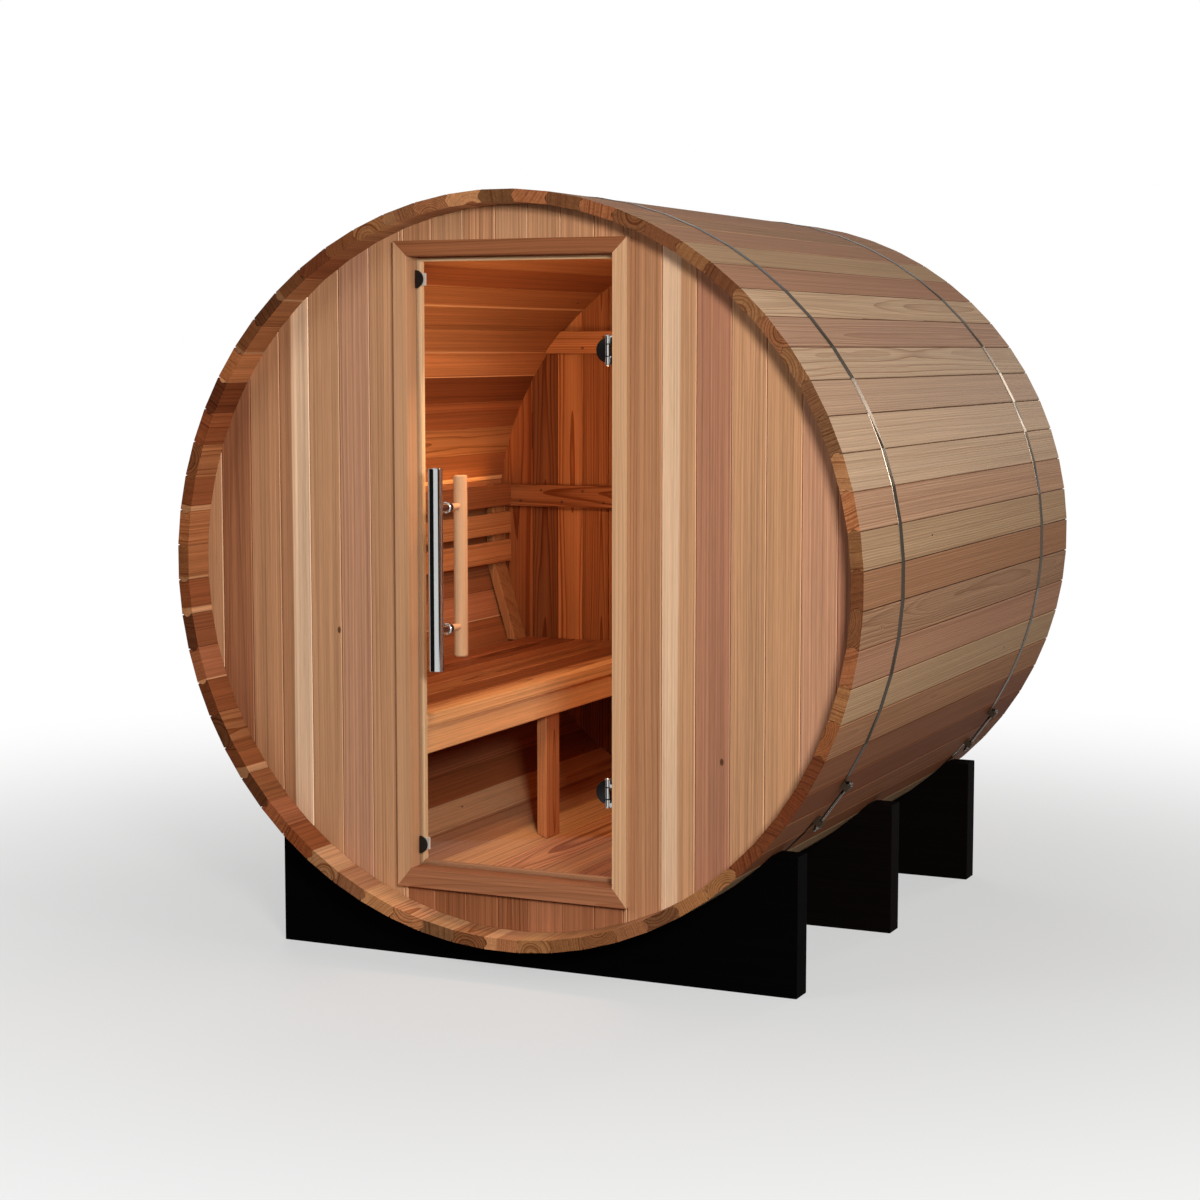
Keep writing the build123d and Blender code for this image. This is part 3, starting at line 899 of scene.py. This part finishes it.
for place, tints in frame_tints.items():
    node = "door_frame_" + place
    moulding = boards_from(
        node, node + "_moulding", moulding_ease, tints, frame_cathedral_share, (frame_wood,)
    )
    # The stop on the sides and head is tinted pale as a painted highlight; the sill's stop is tan.
    retint(moulding, tan if place == "sill" else painted_light_pale, stop_low, stop_high)

# Bench and backrest. Planed slats lie along the left side on bearers, with an apron under the front
# edge, one leg and a backrest of three slats. Every arris is rounded for bare skin.
bench_tints = {
    "bench_slats": (russet, tan),
    "bench_apron": (cream,),
    "bench_bearers": cabin_tints,
    "bench_leg": (tan,),
    "backrest_slats": cabin_tints,
    "backrest_supports": cabin_tints,
}
# The apron and leg take a brighter copy of the cabin finish: painted light for the daylight from the door
# on their fronts.
painted_lit_front_wood = cedar("bench_front_boards_painted_lit", 1.25, (1.02, 0.85, 0.69), 0.7, 0.9)
bench_ease = 0.003
bench_cathedral_share = 0.35
nose_depth = 0.03
box_spare = 0.1
for node, tints in bench_tints.items():
    finish = painted_lit_front_wood if node in ("bench_apron", "bench_leg") else cabin_wood
    board = boards_from(
        node, node + "_cedar", bench_ease, tints, bench_cathedral_share, (finish,)
    )
    if node == "bench_slats":
        low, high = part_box(node)
        nose_low = (high.x - nose_depth, low.y - box_spare, low.z - box_spare)
        # The front of the top slats is tinted pale: a painted highlight on the bench nose.
        retint(board, painted_light_pale, nose_low, high + Vector((box_spare, box_spare, box_spare)))

# Light strip. A slim metal channel holds a row of amber lights, fixed behind the top slat of the
# backrest and out of sight. It is open at the top and washes the staves above it.
channel_half = 0.006
channel_height = 0.012
channel_wall = 0.0012
channel_drop = 0.028
channel_inset = 0.10
rest_low, rest_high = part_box("backrest_slats")
channel_case = specked("channel_case", 500.0, paint(60, 52, 44), paint(84, 74, 64), 0.5)
amber_light, start = new_finish("amber_light")
start.surface(
    {
        "Base Color": (*paint(255, 214, 150), 1.0),
        "Roughness": 0.4,
        "Emission Color": (*paint(255, 196, 104), 1.0),
        "Emission Strength": 50.0,
    }
)
inner_half = channel_half - channel_wall
side = [
    (channel_half, 0.0),
    (channel_half, channel_height),
    (inner_half, channel_height),
    (inner_half, channel_wall),
]
outline = side + [(-x, z) for x, z in reversed(side)]
channel_x = rest_low.x - channel_half
channel_z = rest_high.z - channel_drop
bm = bmesh.new()
corners = [(channel_x + x, rest_low.y + channel_inset, channel_z + z) for x, z in outline]
drawn_out(bm, corners, (0, rest_high.y - rest_low.y - 2 * channel_inset, 0))
bmesh.ops.recalc_face_normals(bm, faces=bm.faces)
for face in bm.faces:
    lights = face.normal.z > 0.5 and face.calc_center_median().z < channel_z + channel_height / 2
    face.material_index = int(lights)
finished(bm, "backrest_light_channel", (channel_case, amber_light), "shell")

# Door glass. One clear tempered sheet with polished edges, which show the green of the glass. It is
# drilled for the two studs of the handle.
glass_material, start = new_finish("clear_glass")
facing = start.node("Fresnel", {}, {"IOR": 1.5})
clear = start.node("BsdfTransparent", {}, {"Color": (0.975, 0.985, 0.98, 1.0)})
mirror = start.node("BsdfGlossy", {}, {"Color": (1.0, 1.0, 1.0, 1.0), "Roughness": 0.02})
sheet = start.node("MixShader", {}, {0: facing * 0.25, 1: clear, 2: mirror})
start.node("OutputMaterial", {}, {"Surface": sheet})
edge_green = (paint(120, 140, 128), paint(150, 168, 156))
glass_edge = specked("polished_glass_edge", 60.0, *edge_green, 0.08, Alpha=0.3)
glass_ease = 0.0008
bm = eased_copy("door_glass", glass_ease)
for face in bm.faces:
    face.material_index = int(abs(face.normal.y) < 0.9)
finished(bm, "door_glass_sheet", (glass_material, glass_edge), "door", ["door_glass"])

# Hinges. A chrome leaf on the jamb carries two knuckles with domed caps and a pin. The third knuckle,
# between two thin rings, belongs to a pair of black plates that clamp the glass from both sides.
chrome = metal("polished_chrome", paint(206, 206, 206), 0.04, 0.05, (300.0, 300.0, 300.0))
satin_shine = {"Specular IOR Level": 0.35}
satin_black = specked(
    "satin_black", 900.0, paint(9, 8, 8), paint(17, 15, 14), 0.26, spread=0.15, relief=0.1, **satin_shine
)
pivot = Vector(frame["record"]["behaviour"]["joints"][0]["pos_m"])
upward = Vector((0, 0, 1))
sleeve_radius = 0.0068
ring_radius = 0.0078
door_knuckle_half = 0.013
knuckle_gap = 0.0005
ring_thickness = 0.0022
hinge_half = 0.0335
leaf_ease = 0.0005
knuckle_ease = 0.0003
ring_ease = 0.0004
plate_ease = 0.002
plate_face = 0.01
plate_spare = 0.001
plate_turn = math.radians(60)
leaf_screw_aside = 0.0073
leaf_screw_rise = 0.025
leaf_screw_depth = 0.003
leaf_screw = [
    (0.0, 0.0012),
    (0.0012, 0.0006),
    (0.0016, -0.0002),
    (0.0026, -0.0002),
    (0.003, 0.0006),
    (0.0, 0.002),
]
dome = [(0.0, 0.0), (0.0066, 0.0), (0.006, 0.0017), (0.004, 0.0031), (0.0, 0.0037)]
leaves = eased_copy("hinge_leaves", leaf_ease)
clamps = eased_copy("hinge_clamps", 0.0)
glass_middle = (glass_low.y + glass_high.y) / 2
plate_end = pivot.x - plate_spare
outer = []
for edge in sharp_edges(clamps, plate_turn):
    if all(abs(v.co.y - glass_middle) > plate_face and v.co.x < plate_end for v in edge.verts):
        outer.append(edge)
bevel(clamps, outer, plate_ease, 3)
leaf_low, leaf_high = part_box("hinge_leaves")
gap_end = door_knuckle_half + knuckle_gap
sleeve = disc_profile(sleeve_radius, gap_end, hinge_half, knuckle_ease)
inner_ring = disc_profile(ring_radius, gap_end, gap_end + ring_thickness, ring_ease)
outer_ring = disc_profile(ring_radius, hinge_half - ring_thickness, hinge_half, ring_ease)
door_knuckle = disc_profile(sleeve_radius, -door_knuckle_half, door_knuckle_half, knuckle_ease)
for middle in (leaf_low.z + hinge_half, leaf_high.z - hinge_half):
    at = Vector((pivot.x, pivot.y, middle))
    for side in (-1, 1):
        out = upward * side
        turned(leaves, sleeve, at, out)
        turned(leaves, inner_ring, at, out, finish=1)
        turned(leaves, outer_ring, at, out)
        turned(leaves, dome, at + out * hinge_half, out)
        for aside in (-leaf_screw_aside, leaf_screw_aside):
            screw_z = middle + side * leaf_screw_rise
            screw_at = Vector((door_right - leaf_screw_depth, pivot.y + aside, screw_z))
            turned(leaves, leaf_screw, screw_at, Vector((1, 0, 0)), steps=12)
    turned(clamps, door_knuckle, at, upward, finish=1)
leaf_finishes = (chrome, satin_black)
clamp_finishes = (satin_black, chrome)
finished(leaves, "hinge_knuckles", leaf_finishes, "shell", ["hinge_leaves"], rounded=True)
finished(clamps, "hinge_glass_clamps", clamp_finishes, "door", ["hinge_clamps"], rounded=True)

# Handle. A polished tube with plugged ends outside and a turned wooden grip inside are held by two
# studs through the glass, with a chrome standoff outside, a wooden peg inside and a gasket on each face.
bar_low, bar_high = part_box("handle_bar")
bar_axis = Vector(((bar_low.x + bar_high.x) / 2, (bar_low.y + bar_high.y) / 2, bar_low.z))
bar_radius = (bar_high.x - bar_low.x) / 2
bar_length = bar_high.z - bar_low.z
tube_wall = 0.0022
plug_radius = bar_radius - tube_wall
plug_recess = 0.0008
plug_ease = 0.0002
rim_ease = 0.0009
end_profile = [
    (0.0, plug_recess),
    (plug_radius, plug_recess),
    (plug_radius + plug_ease, 0.0),
    (bar_radius - rim_ease, 0.0),
]
bar_profile = end_profile + [(bar_radius, rim_ease), (bar_radius, bar_length - rim_ease)]
bar_profile += [(radius, bar_length - along) for radius, along in reversed(end_profile)]
bm = bmesh.new()
turned(bm, bar_profile, bar_axis, upward, steps=64)
finished(bm, "handle_chrome_bar", (chrome,), "door", ["handle_bar"], rounded=True)

grip_low, grip_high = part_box("handle_grip")
grip_axis = Vector(((grip_low.x + grip_high.x) / 2, (grip_low.y + grip_high.y) / 2, grip_low.z))
grip_radius = (grip_high.x - grip_low.x) / 2
grip_length = grip_high.z - grip_low.z
grip_ease = 0.003
grip_wood = cedar("turned_grip_wood", 1.0, (1.0, 1.0, 1.0), 0.35, 0.5)
grip_tints = (paint(224, 176, 136), paint(216, 166, 128))
peg_radius = 0.0085
peg_ease = 0.001
peg_gap = 0.004
standoff_radius = 0.0115
bm = bmesh.new()
layers = grain_layers(bm)
wood = turned(bm, disc_profile(grip_radius, 0.0, grip_length, grip_ease), grip_axis, upward, steps=48)
saw_board(layers, wood, upright_axes, grip_tints, 0.0)
stand_low, stand_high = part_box("handle_standoffs")
stud_rise = (stand_high.z - stand_low.z) / 2 - standoff_radius
stud_heights = [(stand_low.z + stand_high.z) / 2 + side * stud_rise for side in (-1, 1)]
glass_gap = glass_low.y - bar_axis.y
peg_start = glass_high.y - bar_axis.y + peg_gap
peg_end = grip_axis.y - bar_axis.y - grip_radius / 2
for height in stud_heights:
    at = Vector((bar_axis.x, bar_axis.y, height))
    wood = turned(bm, disc_profile(peg_radius, peg_start, peg_end, peg_ease), at, inward)
    saw_board(layers, wood, (Vector((1, 0, 0)), inward, upward), grip_tints, 0.0)
finished(bm, "handle_wooden_grip", (grip_wood,), "door", ["handle_grip"], rounded=True)

flange_radius = 0.0138
flange_ease = 0.001
flange_back = 0.0085
neck_back = 0.011
neck_inset = 0.0015
neck_radius = standoff_radius - neck_inset
neck_ease = 0.0008
post_start = 0.012
gasket = 0.0016
gasket_proud = 0.0003
gasket_ease = 0.0004
washer_inset = 0.0005
washer_edge = standoff_radius - washer_inset
washer_reach = 0.0045
washer_round = 0.0006
neck = glass_gap - neck_back
flange = glass_gap - flange_back
gasket_front = glass_gap - gasket
inner_face = glass_gap + glass_high.y - glass_low.y
post = [
    (0.0, post_start),
    (standoff_radius, post_start),
    (standoff_radius, neck),
    (neck_radius, neck + neck_ease),
    (neck_radius, flange - neck_ease),
    (flange_radius - flange_ease, flange),
    (flange_radius, flange + flange_ease),
    (flange_radius, gasket_front),
    (0.0, gasket_front),
]
front_gasket = disc_profile(flange_radius + gasket_proud, gasket_front, glass_gap, gasket_ease)
back_gasket = disc_profile(standoff_radius, inner_face, inner_face + gasket, gasket_ease)
back_washer = disc_profile(washer_edge, inner_face + gasket, inner_face + washer_reach, washer_round)
bm = bmesh.new()
for height in stud_heights:
    at = Vector((bar_axis.x, bar_axis.y, height))
    turned(bm, post, at, inward)
    turned(bm, front_gasket, at, inward, finish=1)
    turned(bm, back_gasket, at, inward, finish=1)
    turned(bm, back_washer, at, inward)
name = "handle_chrome_standoffs"
finished(bm, name, (chrome, satin_black), "door", ["handle_standoffs"], rounded=True)

# Catches. Half-round black plates on the glass's free edge meet small pale magnets, each in a moulded
# case screwed to the left stop.
catch_ease = 0.001
magnet_ease = 0.0012
case_pale = (paint(206, 196, 186), paint(226, 218, 210))
pale_plastic = specked("pale_plastic", 500.0, *case_pale, 0.35, spread=0.1)
bm = eased_copy("catch_plates", catch_ease)
finished(bm, "catch_black_plates", (satin_black,), "door", ["catch_plates"])
bm = eased_copy("catch_magnets", magnet_ease)
finished(bm, "catch_pale_magnets", (pale_plastic,), "shell", ["catch_magnets"])

# Studio. A plain pale floor fades to white behind the barrel, and soft lamps stand in front of it, at its
# right and behind it. Two warm lamps light the cabin, two dark flags keep reflections calm, and the
# camera stands where the photograph was taken.


def seen_rays(start):
    """1 for camera, glossy and transmission rays, and 0 for the rays that only carry light."""
    path = start.node("LightPath", {}, {}).socket.node
    names = ("Is Camera Ray", "Is Glossy Ray", "Is Transmission Ray")
    camera_ray, glossy_ray, clear_ray = [Shade(start.tree, path.outputs[name]) for name in names]
    return (camera_ray + glossy_ray + clear_ray).clamped()


floor_radius = 30.0
fade_start = 0.8
fade_end = 4.2
least_fade = 0.5
floor_material, start = new_finish("studio_floor")
place = start.node("TexCoord", {}, {}, "Object")
away = start.node("VectorMath", {"operation": "LENGTH"}, {0: place}, "Value")
fade = start.node(
    "MapRange",
    {"interpolation_type": "SMOOTHSTEP"},
    {"Value": away, "From Min": fade_start, "From Max": fade_end, "To Min": least_fade},
)
dark = start.node("BsdfDiffuse", {}, {"Color": (0.12, 0.12, 0.12, 1.0)})
plain = start.node("BsdfDiffuse", {}, {"Color": (0.5, 0.5, 0.5, 1.0)})
white = start.node("Emission", {}, {"Color": (1.0, 1.0, 1.0, 1.0), "Strength": 1.0})
faded = start.node("MixShader", {}, {0: fade, 1: plain, 2: white})
shader = start.node("MixShader", {}, {0: seen_rays(start), 1: dark, 2: faded})
start.node("OutputMaterial", {}, {"Surface": shader})
bm = bmesh.new()
bmesh.ops.create_circle(bm, cap_ends=True, segments=96, radius=floor_radius)
floor = object_from(bm, "studio_floor", (floor_material,))
floor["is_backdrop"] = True

world = bpy.data.worlds.new("studio")
bpy.context.scene.world = world
world.use_nodes = True
world.node_tree.nodes.clear()
start = Shade(world.node_tree)
dim = start.node("Background", {}, {"Color": (1.0, 1.0, 1.0, 1.0), "Strength": 0.1})
white = start.node("Background", {}, {"Color": (1.0, 1.0, 1.0, 1.0), "Strength": 1.0})
backdrop = start.node("MixShader", {}, {0: seen_rays(start), 1: dim, 2: white})
start.node("OutputWorld", {}, {"Surface": backdrop})


def lamp(name, place, aim, size, power, colour):
    """A square soft lamp at a place, turned towards an aim."""
    data = bpy.data.lights.new(name, "AREA")
    data.size = size
    data.energy = power
    data.color = colour
    made = bpy.data.objects.new(name, data)
    made.location = place
    made.rotation_euler = (Vector(aim) - Vector(place)).to_track_quat("-Z", "Y").to_euler()
    bpy.context.scene.collection.objects.link(made)
    return made


barrel_middle = (0.0, 0.0, axis_z)
warm_white = (1.0, 0.98, 0.95)
plain_white = (1.0, 1.0, 1.0)
amber = (1.0, 0.68, 0.40)
lamp("key_lamp", (3.3, -5.3, 2.35), barrel_middle, 0.9, 275.0, warm_white)
lamp("rim_lamp", (1.9, 5.0, 2.45), barrel_middle, 1.0, 48.0, warm_white)
side_lamp = lamp("side_lamp", (5.0, -1.6, 3.2), barrel_middle, 1.8, 60.0, warm_white)
fill_lamps = [
    lamp("front_fill_lamp", (-3.6, -4.4, 2.6), barrel_middle, 3.0, 95.0, plain_white),
    lamp("back_fill_lamp", (-3.8, 4.6, 2.6), barrel_middle, 3.0, 150.0, warm_white),
]
for fill_lamp in (side_lamp, *fill_lamps):
    fill_lamp.visible_glossy = False
cabin_lamps = [
    lamp("cabin_lamp", (0.12, -0.6, axis_z + 0.66), (0.1, 0.4, axis_z - 0.4), 0.3, 12.0, amber),
    lamp("cabin_roof_lamp", (0.05, -0.4, axis_z - 0.05), (-0.05, 0.3, axis_z + 0.85), 0.3, 6.0, amber),
]
for cabin_lamp in cabin_lamps:
    cabin_lamp.visible_camera = False

flag_material, start = new_finish("dark_flag")
matt = start.node("BsdfDiffuse", {}, {"Color": (0.03, 0.03, 0.03, 1.0)})
start.node("OutputMaterial", {}, {"Surface": matt})
flags = {"left_flag": ((-1.2, -1.95, 1.0), 2.4, 2.0), "right_flag": ((5.6, -2.2, 2.0), 2.4, 4.4)}
for name, (place, width, height) in flags.items():
    bm = bmesh.new()
    bmesh.ops.create_grid(bm, x_segments=1, y_segments=1, size=0.5)
    aim = Vector((-place[0], -place[1], 0.0)).to_track_quat("Z", "Y")
    matrix = Matrix.LocRotScale(Vector(place), aim, Vector((width, height, 1.0)))
    bmesh.ops.transform(bm, matrix=matrix, verts=bm.verts)
    flag = object_from(bm, name, (flag_material,))
    flag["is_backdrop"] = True
    flag.visible_camera = False
    flag.visible_diffuse = False
    flag.visible_shadow = False
    flag.visible_transmission = False

camera_data = bpy.data.cameras.new("photo_camera")
camera_data.lens = 72.69
camera_data.sensor_width = 36.0
camera = bpy.data.objects.new("photo_camera", camera_data)
camera.location = (2.5853, -5.9728, 1.5105)
camera.rotation_euler = (math.radians(84.07), 0.0, math.radians(24.67))
bpy.context.scene.collection.objects.link(camera)
bpy.context.scene.camera = camera
bpy.context.scene.view_settings.view_transform = "Standard"

boxes = {"cad": cad_box, "visual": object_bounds()}
{name: [list(corner) for corner in box] for name, box in boxes.items()}
